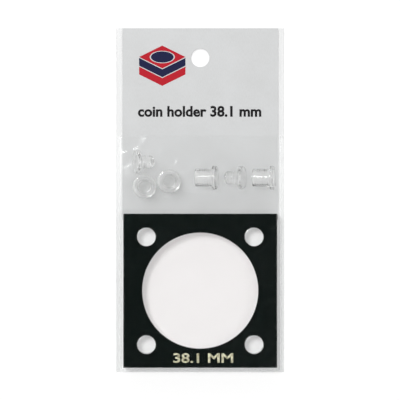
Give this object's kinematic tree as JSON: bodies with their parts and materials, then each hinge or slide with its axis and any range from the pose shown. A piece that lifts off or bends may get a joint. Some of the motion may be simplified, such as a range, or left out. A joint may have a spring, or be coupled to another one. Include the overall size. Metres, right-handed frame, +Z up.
{
  "type": "coin holder kit",
  "caption": "Square black coin plate with clear covers and loose clear screw posts, in a clear hang pouch with a header card.",
  "frame": {"origin": "middle of the pouch, on the surface that it lies on", "axes": "+Z up from the back film to the viewer, +Y from the foot to the header, +X to the right"},
  "size_m": [0.0558, 0.1142, 0.0097],
  "materials": {
    "film": "thin clear film",
    "card": "plain card",
    "clear_acrylic": "clear polished sheet",
    "black_acrylic": "black polished sheet",
    "clear_fastener": "clear moulded"
  },
  "bodies": {
    "pouch": {"pouch_back": "film", "pouch_front": "film", "header_card": "card"},
    "back_cover": {"back_cover": "clear_acrylic"},
    "coin_plate": {"coin_plate": "black_acrylic"},
    "front_cover": {"front_cover": "clear_acrylic"},
    "post_1": {"post_1": "clear_fastener"},
    "post_2": {"post_2": "clear_fastener"},
    "post_3": {"post_3": "clear_fastener"},
    "post_4": {"post_4": "clear_fastener"},
    "screw_1": {"screw_1": "clear_fastener"},
    "screw_2": {"screw_2": "clear_fastener"},
    "screw_3": {"screw_3": "clear_fastener"},
    "screw_4": {"screw_4": "clear_fastener"}
  },
  "joints": [
    {"name": "plates_out", "type": "slide", "parent": "pouch", "child": "back_cover", "axis": [0, 1, 0], "range_m": [0, 0.08]},
    {"name": "coin_plate_out", "type": "slide", "parent": "back_cover", "child": "coin_plate", "axis": [0, 1, 0], "range_m": [0, 0.052]},
    {"name": "front_cover_out", "type": "slide", "parent": "coin_plate", "child": "front_cover", "axis": [0, 1, 0], "range_m": [0, 0.052]},
    {"name": "post_1_out", "type": "slide", "parent": "front_cover", "child": "post_1", "axis": [0, 1, 0], "range_m": [0, 0.024]},
    {"name": "screw_1_turn", "type": "hinge", "parent": "post_1", "child": "screw_1", "pos_m": [-0.01834, 0.00455, 0.005], "axis": [0, 0, 1], "continuous": true},
    {"name": "screw_4_out", "type": "slide", "parent": "post_1", "child": "screw_4", "axis": [0, 1, 0], "range_m": [0, 0.024]},
    {"name": "post_2_out", "type": "slide", "parent": "front_cover", "child": "post_2", "axis": [0, 1, 0], "range_m": [0, 0.024]},
    {"name": "screw_2_turn", "type": "hinge", "parent": "post_2", "child": "screw_2", "pos_m": [-0.01024, 0.00625, 0.005], "axis": [0, 0, 1], "continuous": true},
    {"name": "post_3_out", "type": "slide", "parent": "front_cover", "child": "post_3", "axis": [0, 1, 0], "range_m": [0, 0.024]},
    {"name": "screw_3_out", "type": "slide", "parent": "front_cover", "child": "screw_3", "axis": [0, 1, 0], "range_m": [0, 0.024]},
    {"name": "post_4_out", "type": "slide", "parent": "front_cover", "child": "post_4", "axis": [0, 1, 0], "range_m": [0, 0.024]}
  ]
}
